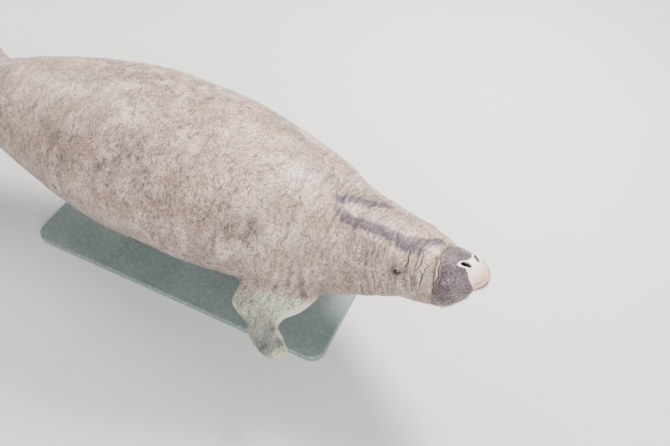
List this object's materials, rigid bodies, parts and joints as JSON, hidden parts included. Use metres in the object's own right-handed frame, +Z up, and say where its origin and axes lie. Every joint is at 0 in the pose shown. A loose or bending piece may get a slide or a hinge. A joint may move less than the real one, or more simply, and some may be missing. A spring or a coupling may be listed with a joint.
{
  "type": "manatee",
  "caption": "Life-size still model of a Florida manatee lifting its nose to breathe, body level and flippers hanging, held over a flat board by short rods.",
  "frame": {"origin": "middle of the board's flat underside, on the floor", "axes": "+X towards the nose, +Y to the animal's left, +Z up"},
  "size_m": [2.9846, 0.9092, 0.8786],
  "materials": {
    "skin": "thick pinkish grey-brown hide, finely creased, satin when damp",
    "muzzle_skin": "darker purple-grey hide, creased, with a pale pinkish lip disc",
    "eye": "near-black glossy dome",
    "nail": "pale horn, satin",
    "board": "flat grey-green paint on a plain board",
    "steel": "brushed rods and flanges"
  },
  "bodies": {
    "root": {"head": "skin", "neck": "skin", "chest": "skin", "belly": "skin", "tail_stock": "skin", "tail_paddle": "skin", "left_flipper": "skin", "right_flipper": "skin", "muzzle": "muzzle_skin", "lower_jaw": "muzzle_skin", "left_eye": "eye", "right_eye": "eye", "left_nail_1": "nail", "left_nail_2": "nail", "left_nail_3": "nail", "right_nail_1": "nail", "right_nail_2": "nail", "right_nail_3": "nail", "stand_board": "board", "stand_flange_front": "steel", "stand_flange_rear": "steel", "stand_rod_front": "steel", "stand_rod_rear": "steel"}
  },
  "joints": []
}
